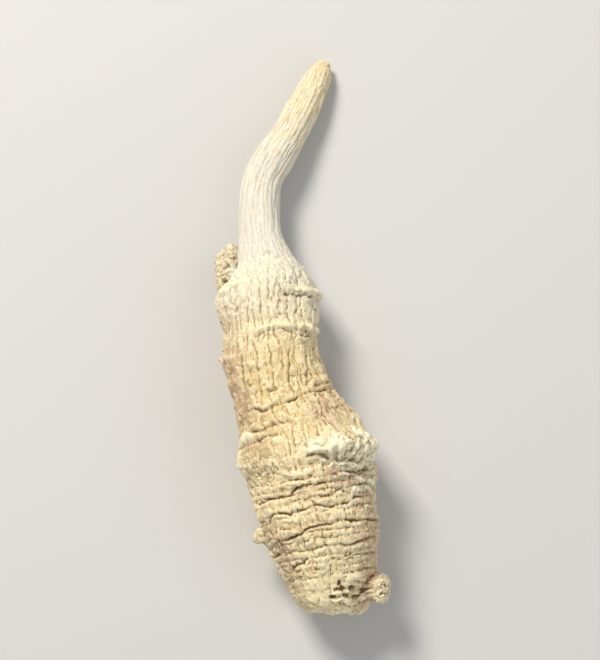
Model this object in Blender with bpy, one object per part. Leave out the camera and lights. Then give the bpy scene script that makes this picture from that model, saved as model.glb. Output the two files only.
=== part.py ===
# A dried ginseng root lying on its side, as one grown body. Sizes are in millimetres until the last step.
# The crown points to -Y and the tail to +Y, with +Z up from the surface that the root lies on.
# The origin is on that surface, at the middle of the flat spot under the thick ringed part.
import math

import bmesh
import bpy
from mathutils import Vector, noise

MM = 0.001

# The root's centre line from the crown to the tip of the tail: x, y, height of the axis, and width across
AXIS = [
    (3.4, -18.0, 5.8, 5.4),
    (3.45, -17.4, 5.8, 8.2),
    (3.3, -15.7, 5.8, 10.2),
    (2.6, -11.9, 6.1, 12.5),
    (1.8, -7.9, 6.5, 14.7),
    (0.8, -3.2, 6.9, 15.8),
    (0.1, 0.4, 7.1, 16.2),
    (-0.4, 2.7, 7.45, 16.7),
    (-1.3, 5.2, 7.6, 15.6),
    (-2.6, 7.7, 7.4, 13.8),
    (-4.0, 12.2, 7.1, 12.9),
    (-5.0, 16.9, 6.8, 12.6),
    (-5.3, 21.2, 6.5, 12.7),
    (-5.5, 24.3, 6.2, 12.5),
    (-5.6, 26.4, 6.0, 10.2),
    (-5.9, 28.6, 5.7, 7.5),
    (-6.4, 32.0, 5.1, 5.9),
    (-6.7, 36.0, 4.5, 5.4),
    (-6.2, 40.0, 3.8, 5.3),
    (-4.2, 43.9, 3.2, 5.2),
    (-2.4, 47.1, 2.7, 4.7),
    (-0.8, 50.2, 2.25, 4.7),
    (0.5, 53.1, 1.85, 4.1),
    (1.5, 55.4, 1.4, 3.2),
    (2.1, 57.2, 1.2, 1.6),
]
DEPTH_TO_WIDTH = 0.93
# How far either way along the axis a row looks to find which way it faces, and how far past the root's ends
FRAME_REACH = 2.5
END_REACH = 0.5
# Distances along the axis from the crown's end
SHOULDER_AT = 42.6
TAIL_AT = 47.5

# Grooves between the growth rings: distance along the axis, and depth as a share of RING_DEPTH. They lie in
# slanting waves, each is deeper in some places than in others, and the skin bulges between them
RINGS = [
    (3.7, 0.6),
    (5.6, 0.8),
    (7.4, 0.6),
    (9.1, 0.7),
    (11.1, 1.3),
    (13.4, 0.9),
    (15.8, 0.9),
    (17.6, 0.7),
    (19.3, 0.8),
    (21.7, 0.5),
    (24.2, 0.7),
    (26.9, 1.2),
    (30.0, 0.5),
    (33.1, 0.6),
    (36.4, 1.2),
    (38.6, 0.5),
    (41.1, 0.7),
    (43.5, 0.8),
]
RING_DEPTH = 0.5
RING_BULGE = 0.2
RING_WAVE = 1.1
WAVE_FROM = 5.0
WAVE_ROUND = 0.9
WAVE_ALONG = 0.05
# Each groove's depth: the share that it has all round, the share that comes and goes, and how fast it does
EVEN_DEPTH = 0.65
VARIED_DEPTH = 0.7
VARIED_ROUND = 1.6
VARIED_ALONG = 0.6
# From the crown to the collar a finer groove lies between each two
FINE_RINGS_END = 19.0
FINE_RING_PLACES = (0.42, 0.6)
FINE_RING_DEPTH = 0.4

# Shrinkage furrows along the root, and the lumps of its body, both weaker where the root is slim
FURROW_DEPTH = 0.24
FURROW_DETAIL = 3.4
FURROW_STRETCH = 0.09
FLUTES = 13
FLUTE_SHARE = 0.6
FLUTE_SWAY = 2.2
FLUTE_SWAY_ALONG = 0.12
LUMP_HEIGHT = 0.55
LUMP_SIZE = 5.5
FULL_RELIEF_RADIUS = 5.0
LEAST_FURROWS = 0.35

# Rows and sides of the mesh
SIDES = 36
RING_ROW_STEP = 0.5
TAIL_ROW_STEP = 1.3
TIP_GAP = 0.3
CAP_ROWS = 5
CAP_FIRST = 0.4
SEED = 11.3
# Where in the noise each kind of relief is read. A surface's place there is its turn in x and y, and its
# distance along the axis in z
LUMP_DRAW = Vector((SEED, 0, 0))
FURROW_DRAW = Vector((0, 0, SEED * 2))
FLUTE_DRAW = Vector((0, SEED, 1.0))
RING_DRAW = Vector((0, 0, SEED))
UP = Vector((0, 0, 1))

# Swellings of the surface, and hollows where the height is below zero: distance along the axis, turn round it
# (0 is +X, 90 is up), reach towards the crown, reach towards the tail, reach round in degrees, and height
SWELLINGS = [
    (20.9, 62, 0.5, 1.4, 24, 1.0),
    (19.9, 16, 0.6, 1.5, 22, 0.9),
    (23.6, 176, 1.9, 1.9, 26, 0.8),
    (17.3, 112, 0.4, 1.6, 26, 0.4),
    (16.6, 2, 0.8, 0.8, 14, 0.4),
    (20.6, 235, 1.5, 1.5, 20, 0.4),
    (42.6, 26, 1.4, 0.7, 26, 0.5),
    (40.9, 168, 1.6, 1.6, 30, 0.4),
    (37.3, 60, 0.5, 0.7, 46, 0.35),
    (35.2, 300, 1.5, 1.5, 22, 0.7),
    (26.4, 118, 1.3, 1.3, 22, 0.3),
    (11.0, 140, 1.0, 1.0, 16, 0.35),
    (2.4, 128, 1.4, 2.2, 36, 0.5),
    (0.9, 42, 1.5, 1.9, 36, -1.7),
]

# Stumps of trimmed rootlets: start inside the body, end, width at the start and width at the end
STUMPS = {
    "shoulder": ((-8.2, 21.8, 5.2), (-10.5, 31.1, 1.1), 5.6, 4.6),
    "crown_bud": ((5.2, -14.3, 6.2), (10.4, -15.0, 7.2), 2.6, 4.0),
    "side": ((-4.6, -7.4, 6.4), (-7.3, -8.4, 6.0), 2.8, 1.7),
    "collar": ((5.2, 1.6, 5.2), (8.9, 0.9, 4.4), 2.6, 1.7),
    "back": ((-4.6, 14.0, 8.2), (-11.9, 15.6, 5.6), 2.4, 1.5),
}
STUMP_SIDES = 14
STUMP_ROWS = 9
STUMP_ROUGHNESS = 0.44
STUMP_DETAIL = 1.7
STUMP_DETAIL_ALONG = 3.0
STUMP_DRAW = 3.1
# A stump's end is rounded off past this share of its length, down to this share of its width
STUMP_ROUND_FROM = 0.8
STUMP_END_WIDTH = 0.33
# The crown's end is a shallow dish, where the neck broke off
CROWN_DISH = 1.1

ROOT_COLOUR = (0.62, 0.47, 0.27, 1.0)
ROOT_ROUGHNESS = 0.85


def clear_scene():
    for old in list(bpy.data.objects):
        bpy.data.objects.remove(old)


class CentreLine:
    """The smooth line through AXIS, read by the distance along it."""

    def __init__(self, stations):
        self.stations = [Vector(station) for station in stations]
        self.marks = [0.0]
        for low, high in zip(self.stations, self.stations[1:]):
            self.marks.append(self.marks[-1] + (high.xyz - low.xyz).length)
        self.length = self.marks[-1]
        self.slopes = []
        final = len(stations) - 1
        for i in range(len(stations)):
            before, after = max(i - 1, 0), min(i + 1, final)
            change = self.stations[after] - self.stations[before]
            self.slopes.append(change / (self.marks[after] - self.marks[before]))

    def at(self, distance):
        """Position of the axis, with the width across as the fourth value."""
        distance = min(max(distance, 0.0), self.length)
        final = len(self.stations) - 2
        i = next((n for n in range(final) if distance < self.marks[n + 1]), final)
        span = self.marks[i + 1] - self.marks[i]
        share = (distance - self.marks[i]) / span
        squared, cubed = share**2, share**3
        return (
            (2 * cubed - 3 * squared + 1) * self.stations[i]
            + (cubed - 2 * squared + share) * span * self.slopes[i]
            + (3 * squared - 2 * cubed) * self.stations[i + 1]
            + (cubed - squared) * span * self.slopes[i + 1]
        )

    def direction(self, distance):
        reach = min(FRAME_REACH, distance + END_REACH, self.length - distance + END_REACH)
        return (self.at(distance + reach).xyz - self.at(distance - reach).xyz).normalized()


def smooth_step(low, high, value):
    share = min(max((value - low) / (high - low), 0.0), 1.0)
    return share * share * (3 - 2 * share)


def round_place(turn):
    """A turn as a place on a circle, where the noise is read."""
    return Vector((math.cos(turn), math.sin(turn), 0.0))


def all_rings():
    """The grooves of RINGS with the finer ones between them, in order along the axis."""
    grooves = [RINGS[0]]
    for i, (low, high) in enumerate(zip(RINGS, RINGS[1:])):
        if high[0] < FINE_RINGS_END:
            place = FINE_RING_PLACES[i % len(FINE_RING_PLACES)]
            grooves.append((low[0] + (high[0] - low[0]) * place, FINE_RING_DEPTH))
        grooves.append(high)
    return grooves


def rows_along(length, grooves):
    """The rows of the mesh: each row's distance along the axis, and how far the rings raise or sink it."""
    first = grooves[0][0]
    rows = [(first * (i + CAP_FIRST) / CAP_ROWS, 0.0) for i in range(CAP_ROWS)]
    for (here, depth), (following, _) in zip(grooves, grooves[1:]):
        rows.append((here, -depth * RING_DEPTH))
        steps = max(round((following - here) / RING_ROW_STEP), 2)
        for step in range(1, steps):
            share = step / steps
            rows.append((here + (following - here) * share, RING_BULGE * math.sin(math.pi * share)))
    here, depth = grooves[-1]
    rows.append((here, -depth * RING_DEPTH))
    while here < length - 2 * TIP_GAP:
        here += TAIL_ROW_STEP if here > TAIL_AT else TAIL_ROW_STEP / 2
        rows.append((min(here, length - TIP_GAP), 0.0))
    return rows


def relief(slid, ring_height, turn, radius, ringed):
    """How far the skin stands out from the plain swept form."""
    around = round_place(turn)
    fullness = min(radius / FULL_RELIEF_RADIUS, 1.0)

    lumps = noise.noise((around * radius + UP * slid) / LUMP_SIZE + LUMP_DRAW)
    furrows = noise.noise(around * FURROW_DETAIL + UP * slid * FURROW_STRETCH + FURROW_DRAW)
    sway = FLUTE_SWAY * noise.noise(UP * slid * FLUTE_SWAY_ALONG + FLUTE_DRAW)
    furrows += FLUTE_SHARE * math.sin(turn * FLUTES + sway)
    raised = LUMP_HEIGHT * lumps * fullness
    raised += FURROW_DEPTH * furrows * (LEAST_FURROWS + (1 - LEAST_FURROWS) * fullness)

    varied = noise.noise(around * VARIED_ROUND + UP * slid * VARIED_ALONG + RING_DRAW)
    raised += ring_height * (EVEN_DEPTH + VARIED_DEPTH * varied) * ringed
    for at, degrees, crownward, tailward, spread, height in SWELLINGS:
        apart = (math.degrees(turn) - degrees + 180) % 360 - 180
        reach = crownward if slid < at else tailward
        raised += height * math.exp(-(((slid - at) / reach) ** 2) - (apart / spread) ** 2)
    return raised


def surface_point(centre_line, along, ring_height, turn):
    """One point of the root's skin, at a distance along the axis and a turn round it."""
    ringed = 1 - smooth_step(SHOULDER_AT, TAIL_AT, along)
    wave = noise.noise(round_place(turn) * WAVE_ROUND + UP * along * WAVE_ALONG + RING_DRAW)
    slid = along + RING_WAVE * wave * ringed * smooth_step(0.0, WAVE_FROM, along)
    station = centre_line.at(slid)
    forward = centre_line.direction(slid)
    side = forward.cross(UP).normalized()
    upward = side.cross(forward)
    radius = station.w / 2 + relief(slid, ring_height, turn, station.w / 2, ringed)

    point = station.xyz + (side * math.cos(turn) + upward * math.sin(turn) * DEPTH_TO_WIDTH) * radius
    point.z = max(point.z, 0.0)
    return point


def closed_tube(mesh_name, rows_of_points, start, end):
    """A closed mesh from rings of points, with a point at each end."""
    shape = bmesh.new()
    rings = [[shape.verts.new(point * MM) for point in row] for row in rows_of_points]
    first = shape.verts.new(start * MM)
    final = shape.verts.new(end * MM)
    sides = len(rings[0])
    for i in range(sides):
        j = (i + 1) % sides
        shape.faces.new((first, rings[0][j], rings[0][i]))
        shape.faces.new((final, rings[-1][i], rings[-1][j]))
        for low, high in zip(rings, rings[1:]):
            shape.faces.new((low[i], low[j], high[j], high[i]))
    bmesh.ops.triangulate(shape, faces=shape.faces[:])
    bmesh.ops.recalc_face_normals(shape, faces=shape.faces[:])
    mesh = bpy.data.meshes.new(mesh_name)
    shape.to_mesh(mesh)
    shape.free()
    return mesh


def root_body():
    """The ringed body and its tail as one swept skin."""
    centre_line = CentreLine(AXIS)
    rows = rows_along(centre_line.length, all_rings())
    turns = [2 * math.pi * i / SIDES for i in range(SIDES)]
    points = [[surface_point(centre_line, *row, turn) for turn in turns] for row in rows]
    crown_end = centre_line.at(CROWN_DISH).xyz
    tail_end = centre_line.at(centre_line.length).xyz
    return closed_tube("root_body", points, crown_end, tail_end)


def stump(name, start, end, width_start, width_end):
    """A short broken rootlet with a rough, rounded end."""
    start, end = Vector(start), Vector(end)
    forward = (end - start).normalized()
    side = forward.cross(UP).normalized()
    upward = side.cross(forward)
    draw = Vector((len(name) * STUMP_DRAW, SEED, 0.0))
    rows = []
    for row in range(STUMP_ROWS):
        share = row / (STUMP_ROWS - 1)
        rounding = max(share - STUMP_ROUND_FROM, 0.0) / (1 - STUMP_ROUND_FROM)
        width = (width_start + (width_end - width_start) * share) * math.sqrt(
            1 - rounding**2 * (1 - STUMP_END_WIDTH**2)
        )
        points = []
        for i in range(STUMP_SIDES):
            turn = 2 * math.pi * i / STUMP_SIDES
            around = round_place(turn) * STUMP_DETAIL
            rough = 1 + STUMP_ROUGHNESS * noise.noise(around + UP * share * STUMP_DETAIL_ALONG + draw)
            reach = width / 2 * rough
            point = start.lerp(end, share) + (side * math.cos(turn) + upward * math.sin(turn)) * reach
            point.z = max(point.z, 0.0)
            points.append(point)
        rows.append(points)
    return closed_tube("stump_" + name, rows, start, end)


def join_stumps(root):
    """Fuses the stumps into the root, so that it stays one grown body."""
    stumps = bpy.data.collections.new("stumps")
    bpy.context.scene.collection.children.link(stumps)
    for name, measures in STUMPS.items():
        stumps.objects.link(bpy.data.objects.new("stump_" + name, stump(name, *measures)))
    union = root.modifiers.new("join_stumps", "BOOLEAN")
    union.operation = "UNION"
    union.operand_type = "COLLECTION"
    union.collection = stumps
    union.solver = "EXACT"
    bpy.context.view_layer.update()
    evaluated = root.evaluated_get(bpy.context.evaluated_depsgraph_get())
    fused = bpy.data.meshes.new_from_object(evaluated)
    root.modifiers.clear()
    root.data = fused
    for helper in list(stumps.objects):
        bpy.data.objects.remove(helper)
    bpy.data.collections.remove(stumps)


def root_material():
    material = bpy.data.materials.new("dried_root")
    material.use_nodes = True
    shader = material.node_tree.nodes["Principled BSDF"]
    shader.inputs["Base Color"].default_value = ROOT_COLOUR
    shader.inputs["Roughness"].default_value = ROOT_ROUGHNESS
    shader.inputs["Metallic"].default_value = 0.0
    return material


def main():
    clear_scene()
    root = bpy.data.objects.new("ginseng_root", root_body())
    bpy.context.scene.collection.objects.link(root)
    join_stumps(root)
    root.data.materials.clear()
    root.data.materials.append(root_material())
    root.data.shade_smooth()
    return root


main()
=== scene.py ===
# A dried ginseng root lying on a pale table, seen from above with its crown towards the viewer.
# Its shape is worked out in millimetres in the frame's own axes, and scaled to metres when the skin is done.
import math

import bmesh
import bpy
import numpy as np
from mathutils import Matrix, Vector, kdtree, noise


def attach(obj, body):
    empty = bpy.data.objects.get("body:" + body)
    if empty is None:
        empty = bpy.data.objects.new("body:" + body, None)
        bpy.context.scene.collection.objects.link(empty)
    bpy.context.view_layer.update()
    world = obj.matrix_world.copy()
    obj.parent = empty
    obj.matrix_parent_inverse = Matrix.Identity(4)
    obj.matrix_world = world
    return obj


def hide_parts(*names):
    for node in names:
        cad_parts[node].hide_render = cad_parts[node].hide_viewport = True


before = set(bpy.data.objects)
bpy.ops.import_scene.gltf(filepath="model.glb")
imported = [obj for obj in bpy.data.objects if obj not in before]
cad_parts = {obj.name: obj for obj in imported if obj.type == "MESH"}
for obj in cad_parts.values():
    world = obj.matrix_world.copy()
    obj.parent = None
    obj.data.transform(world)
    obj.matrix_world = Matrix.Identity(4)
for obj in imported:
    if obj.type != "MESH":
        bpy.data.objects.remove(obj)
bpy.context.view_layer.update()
mm = 0.001
seed = 11.3
crossAxis = Vector((0, 0, 1))

# The root's plan: its centre line from crown to tail as x, y, height of the axis and width across
rootPlan = {
    "stations": [
        (3.4, -18.0, 5.8, 5.4),
        (3.45, -17.4, 5.8, 8.2),
        (3.3, -15.7, 5.8, 10.2),
        (2.6, -11.9, 6.1, 12.5),
        (1.8, -7.9, 6.5, 14.7),
        (0.8, -3.2, 6.9, 15.8),
        (0.1, 0.4, 7.1, 16.2),
        (-0.4, 2.7, 7.45, 16.7),
        (-1.3, 5.2, 7.6, 15.6),
        (-2.6, 7.7, 7.4, 13.8),
        (-4.0, 12.2, 7.1, 12.9),
        (-5.0, 16.9, 6.8, 12.6),
        (-5.3, 21.2, 6.5, 12.7),
        (-5.5, 24.3, 6.2, 12.5),
        (-5.6, 26.4, 6.0, 10.2),
        (-5.9, 28.6, 5.7, 7.5),
        (-6.4, 32.0, 5.1, 5.9),
        (-6.7, 36.0, 4.5, 5.4),
        (-6.2, 40.0, 3.8, 5.3),
        (-4.2, 43.9, 3.2, 5.2),
        (-2.4, 47.1, 2.7, 4.7),
        (-0.8, 50.2, 2.25, 4.7),
        (0.5, 53.1, 1.85, 4.1),
        (1.5, 55.4, 1.4, 3.2),
        (2.1, 57.2, 1.2, 1.6),
    ],
    "depthToWidth": 0.93,
    "frameReach": 2.5,      # how far along the axis a row looks to find which way it faces
    "endReach": 0.5,
    "shoulderAt": 42.6,     # along the axis from the crown
    "tailAt": 47.5,
    "lumpHeight": 0.55,
    "lumpSize": 5.5,
    "fullReliefRadius": 5.0,
    "capAt": 1.1,           # the middle of the crown's cut end lies this far in
    "rowStep": 0.4,
    "sides": 120,
    "voxel": 0.12,
    "smoothing": 3,
    "mostTriangles": 190000,
}

# Swellings, and hollows below zero: along, turn (0 is +X, 90 is up), reach to the crown, reach to the tail,
# reach round in degrees, height
swellings = [
    (20.9, 62, 0.5, 1.4, 24, 1.0),
    (19.9, 16, 0.6, 1.5, 22, 0.9),
    (23.6, 176, 1.9, 1.9, 26, 0.8),
    (17.3, 112, 0.4, 1.6, 26, 0.4),
    (16.6, 2, 0.8, 0.8, 14, 0.4),
    (20.6, 235, 1.5, 1.5, 20, 0.4),
    (42.6, 26, 1.4, 0.7, 26, 0.5),
    (40.9, 168, 1.6, 1.6, 30, 0.4),
    (37.3, 60, 0.5, 0.7, 46, 0.35),
    (35.2, 300, 1.5, 1.5, 22, 0.7),
    (26.4, 118, 1.3, 1.3, 22, 0.3),
    (11.0, 140, 1.0, 1.0, 16, 0.35),
    (2.4, 128, 1.4, 2.2, 36, 0.5),
    (0.9, 42, 1.5, 1.9, 36, -1.7),
]

# Grooves between the growth rings: along, and depth as a share of the full depth
ringMarks = {
    "main": [
        (3.7, 0.6), (5.6, 0.8), (7.4, 0.6), (9.1, 0.7), (11.1, 1.3), (13.4, 0.9),
        (15.8, 0.9), (17.6, 0.7), (19.3, 0.8), (21.7, 0.5), (24.2, 0.7), (26.9, 1.2),
        (30.0, 0.5), (33.1, 0.6), (36.4, 1.2), (38.6, 0.5), (41.1, 0.7), (43.5, 0.8),
    ],
    "wave": 1.1,
    "waveFrom": 5.0,
    "waveRound": 0.9,       # how fast the wave changes round the root and along it
    "waveAlong": 0.05,
    "fineUntil": 19.0,      # from the crown to the collar a finer groove lies between each two
    "finePlaces": (0.42, 0.6),
    "fineDepth": 0.4,
}

# Stumps of trimmed rootlets and the bud by the crown: start, end, width at the start, width at the end
stumps = {
    "shoulder": ((-8.2, 21.8, 5.2), (-10.5, 31.1, 1.1), 5.6, 4.6),
    "crown_bud": ((5.2, -14.3, 6.2), (10.3, -14.8, 7.2), 3.6, 4.0),
    "side": ((-4.6, -7.4, 6.4), (-7.3, -8.4, 6.0), 4.6, 0.9),
    "collar": ((5.2, 1.6, 5.2), (8.9, 0.9, 4.4), 2.6, 1.7),
    "back": ((-4.6, 14.0, 8.2), (-11.9, 15.6, 5.6), 2.4, 1.5),
}
stumpCrumple = {"shoulder": 1.0, "crown_bud": 1.0, "side": 0.5, "collar": 0.6, "back": 0.7}
stumpPaleness = {"shoulder": 0.25, "crown_bud": 0.85, "side": 0.5, "collar": 0.2, "back": 0.1}
stumpPits = [                                      # x, y, reach, depth
    (-9.8, 29.0, 0.5, 0.7), (-9.9, 26.6, 0.45, 0.7), (-11.2, 25.7, 0.5, 0.8), (-10.9, 28.2, 0.4, 0.5),
    (-10.2, 25.0, 0.4, 0.6), (9.9, -14.4, 0.22, 0.25), (9.1, -15.6, 0.22, 0.3),
]
stumpForm = {
    "sides": 40,
    "rows": 30,
    "roughness": 0.44,
    "detail": 1.7,
    "detailAlong": 3,
    "roundFrom": 0.8,
    "endWidth": 0.33,
    "drawStep": 3.1,
    "pitTorn": 1.5,
    "pitTornPace": 1.3,
    "pitEdge": 1.2,
    "pitSoft": 0.5,
}

# Marks listed for the upper side. A path's points are turns in degrees and distances along the root.
# Creases: depth and half width
creases = {
    "ringStrong": (0.52, 0.18, (
        (162, 10.3), (145, 10.6), (132, 10.8), (122, 11.0), (114, 11.3), (103, 11.6), (91, 11.8),
        (74, 11.9), (57, 11.7), (40, 11.5), (24, 11.2), (5, 11.2), (-18, 11.3),
    )),
    "ringUnderCollar": (0.46, 0.17, (
        (182, 16.2), (160, 15.4), (142, 15.7), (118, 15.9), (109, 16.3), (97, 16.6), (80, 16.4), (64, 16.7),
    )),
    "ringSecond": (0.46, 0.17, (
        (152, 14.0), (136, 14.0), (119, 13.7), (107, 14.0), (97, 14.1), (79, 13.8), (61, 14.1), (40, 14.3),
        (18, 14.2),
    )),
    "ringFaint": (0.24, 0.16, ((124, 14.9), (105, 15.1), (92, 15.2), (78, 15.1), (64, 15.4), (50, 15.0))),
    "ringRight": (0.36, 0.17, (
        (112, 9.0), (91, 9.3), (73, 9.3), (62, 9.1), (53, 9.2), (35, 9.4), (12, 9.3),
    )),
    "ringRightLow": (0.26, 0.16, ((86, 7.3), (73, 7.6), (60, 7.8), (41, 7.6), (20, 7.4), (2, 7.3))),
    "ringRightLast": (0.22, 0.16, ((58, 5.6), (44, 5.7), (22, 5.5), (0, 5.6))),
    "arcHigh": (0.36, 0.18, ((140, 6.8), (134, 7.2), (124, 7.8), (113, 8.3))),
    "arcMiddle": (0.22, 0.16, ((113, 6.9), (102, 6.6), (95, 6.5))),
    "arcLow": (0.34, 0.17, ((154, 5.0), (148, 5.3), (137, 5.7), (126, 5.8), (118, 5.7))),
    "leftNotch": (0.4, 0.24, ((180, 13.3), (156, 13.0), (142, 13.4))),
    "leftNotchLow": (0.3, 0.2, ((182, 9.2), (165, 9.0), (150, 9.3))),
    "flankFurrow": (0.32, 0.2, ((162, 14.8), (153, 12.8), (144, 10.5), (141, 7.6), (137, 5.7))),
    "frontFurrow": (0.22, 0.16, ((112, 13.4), (113, 11.2), (116, 9.0))),
    "collarCrescent": (0.34, 0.16, (
        (120, 18.5), (113, 17.9), (107, 17.8), (98, 17.5), (93, 17.7), (88, 18.0),
    )),
    "scarGap": (0.5, 0.2, ((64, 18.0), (56, 17.8), (48, 17.4), (36, 17.5), (24, 17.3), (8, 17.4))),
    "scarGapLow": (0.3, 0.16, ((60, 17.0), (47, 16.9), (30, 17.1), (20, 16.9))),
    "scarLoop": (0.3, 0.16, ((57, 20.8), (50, 21.6), (45, 21.2), (47, 20.5))),
    "underFolds": (0.36, 0.16, ((59, 19.3), (52, 19.1), (42, 18.9))),
    "scarNotch": (0.6, 0.28, ((94, 20.7), (87, 20.6), (80, 20.3), (70, 19.5))),
    "lobeCrease": (0.35, 0.2, (
        (150, 25.6), (137, 25.6), (121, 25.4), (111, 25.6), (103, 25.2), (96, 24.8), (88, 24.5),
    )),
    "lobeCreaseLow": (0.28, 0.18, ((146, 24.2), (129, 24.5), (120, 24.5), (110, 24.3))),
    "lobeInner": (0.42, 0.24, ((172, 21.4), (170, 22.8), (166, 24.0), (154, 24.4))),
    "upperRing": (0.55, 0.2, (
        (152, 28.4), (133, 28.1), (121, 27.8), (110, 27.6), (92, 27.4), (82, 27.3), (70, 27.4), (58, 27.5),
        (42, 27.1), (18, 27.3),
    )),
    "upperRingRight": (0.35, 0.3, ((52, 28.6), (40, 28.3), (22, 28.4))),
    "dashRight": (0.24, 0.16, ((77, 30.6), (66, 30.4), (50, 30.2))),
    "dashMiddle": (0.2, 0.16, ((111, 30.1), (102, 29.7), (93, 29.5))),
    "dashLeft": (0.22, 0.2, ((132, 31.4), (122, 31.3))),
    "furrowOne": (0.24, 0.17, ((131, 35.4), (131, 34.2), (135, 32.2), (137, 30.1), (137, 28.3))),
    "furrowTwo": (0.27, 0.17, ((112, 36.9), (112, 35.2), (111, 33.8), (115, 31.1), (119, 28.0))),
    "furrowThree": (0.2, 0.15, ((95, 34.6), (96, 33.2), (99, 31.2), (101, 29.8))),
    "furrowFour": (0.2, 0.15, ((79, 35.2), (82, 32.3), (87, 29.9), (88, 28.2))),
    "furrowFive": (0.23, 0.16, ((68, 34.4), (74, 31.5), (81, 28.7), (82, 27.4))),
    "furrowSix": (0.27, 0.17, ((43, 35.0), (47, 32.3), (52, 30.1), (62, 27.5))),
    "rightSplit": (0.6, 0.35, ((9, 33.4), (14, 30.6), (22, 27.8), (32, 25.4))),
    "bandUnder": (0.24, 0.13, (
        (120, 36.8), (96, 36.7), (79, 36.6), (67, 36.3), (51, 35.8), (33, 35.9), (12, 36.0),
    )),
    "shoulderUnder": (0.42, 0.2, ((72, 41.3), (62, 41.4), (51, 41.5), (38, 41.7), (20, 41.8), (4, 41.9))),
    "tongueLeft": (0.2, 0.16, ((76, 44.6), (75, 43.6), (81, 42.0), (84, 40.5), (83, 39.1), (79, 38.7))),
    "tongueRight": (0.2, 0.16, ((75, 43.6), (73, 41.9), (73, 40.0), (75, 38.9), (79, 38.7))),
    "tailHollow": (0.14, 0.3, ((88, 47.6), (77, 47.8), (66, 47.6))),
}

# Ridges: height, half width, and how pale they are drawn: their pale skin, and on the lobe's rim a painted
# highlight
ridges = {
    # the lobe's rim is pale as a painted highlight along its lit edge
    "lobeRim": (0.3, 0.55, 1.3, (
        (164, 18.6), (166, 19.8), (167, 21.2), (167, 22.8), (165, 24.0), (161, 24.9), (153, 25.3),
        (144, 25.2), (134, 24.9),
    )),
    "nubRidge": (0.2, 0.6, 0.5, ((178, 10.2), (172, 8.6), (168, 6.8), (165, 5.2))),
    "stumpRim": (0.34, 0.3, 1.0, (
        (176, 42.6), (170, 43.2), (160, 43.9), (146, 43.4), (132, 43.8), (120, 44.6),
    )),
    "leftFold": (0.24, 0.36, 0.3, ((184, 34.4), (178, 35.0), (162, 35.3), (146, 35.2), (136, 35.6))),
    "tailArcHigh": (0.2, 0.3, 0.3, ((97, 46.0), (91, 46.6), (75, 46.9), (59, 46.5), (52, 45.5))),
    "tailArcLow": (0.15, 0.26, 0.3, ((95, 45.0), (79, 45.4), (62, 45.1))),
    "greenMark": (0.2, 0.2, 0.9, ((89, 17.1), (87, 16.6), (84, 17.3))),
    "crownStreak": (0.22, 0.22, 0.9, ((88, 9.9), (79, 7.8))),
    "crescentRayOne": (0.12, 0.16, 0.35, ((118, 19.6), (126, 21.4))),
    "crescentRayTwo": (0.12, 0.16, 0.35, ((110, 18.9), (114, 21.2))),
    "crescentRayThree": (0.12, 0.16, 0.35, ((101, 18.6), (102, 21.0))),
    "crescentRayFour": (0.12, 0.16, 0.3, ((94, 19.0), (93, 20.6))),
    "bandKnobOne": (0.4, 0.32, 0.6, ((50, 37.6), (44, 37.4))),
    "bandKnobTwo": (0.4, 0.32, 0.6, ((36, 37.4), (29, 37.2))),
    "bandKnobThree": (0.4, 0.34, 0.6, ((20, 37.5), (12, 37.2))),
    "bandKnobFour": (0.35, 0.3, 0.6, ((30, 36.2), (22, 36.0))),
    "bandKnobFive": (0.35, 0.3, 0.6, ((10, 36.3), (3, 36.4))),
    "crownRimLow": (0.3, 0.3, 0.8, ((150, 0.5), (120, 0.3), (95, 0.2), (70, 0.2), (46, 0.4), (30, 0.8))),
    "crownFlakeOne": (0.35, 0.22, 0.7, ((100, 2.9), (84, 2.8), (70, 2.9), (58, 2.7))),
    "crownFlakeTwo": (0.35, 0.2, 0.6, ((96, 1.7), (80, 1.9), (66, 1.8), (52, 2.0))),
    "crownFlakeThree": (0.35, 0.22, 0.7, ((54, 2.9), (44, 2.5), (36, 2.6))),
    "crownFlakeFour": (0.3, 0.2, 0.7, ((62, 3.9), (50, 3.8), (40, 3.6))),
}

# Lips: ridges that stand steeper on the side towards the crown
lips = {
    # the crescent's paleness is partly a painted highlight on the lit lip
    "collarCrescent": (0.2, 0.4, 0.6, (
        (124, 19.8), (120, 19.4), (115, 18.8), (108, 18.4), (98, 18.1), (92, 18.3), (88, 18.4),
    )),
    "band": (0.06, 0.24, 0.7, ((118, 37.4), (95, 37.3), (79, 37.2), (66, 37.0), (56, 36.8))),
    "shoulderRim": (0.24, 0.34, 0.5, (
        (68, 42.4), (56, 42.2), (43, 42.4), (20, 42.6), (5, 42.6), (-6, 42.3),
    )),
    "crownRim": (0.5, 0.36, 0.7, ((84, 1.0), (71, 1.2), (57, 1.0), (40, 1.2), (28, 1.5))),
    "crownRimHigh": (0.3, 0.34, 0.5, ((72, 4.6), (50, 4.5), (36, 4.2))),
}

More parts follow.
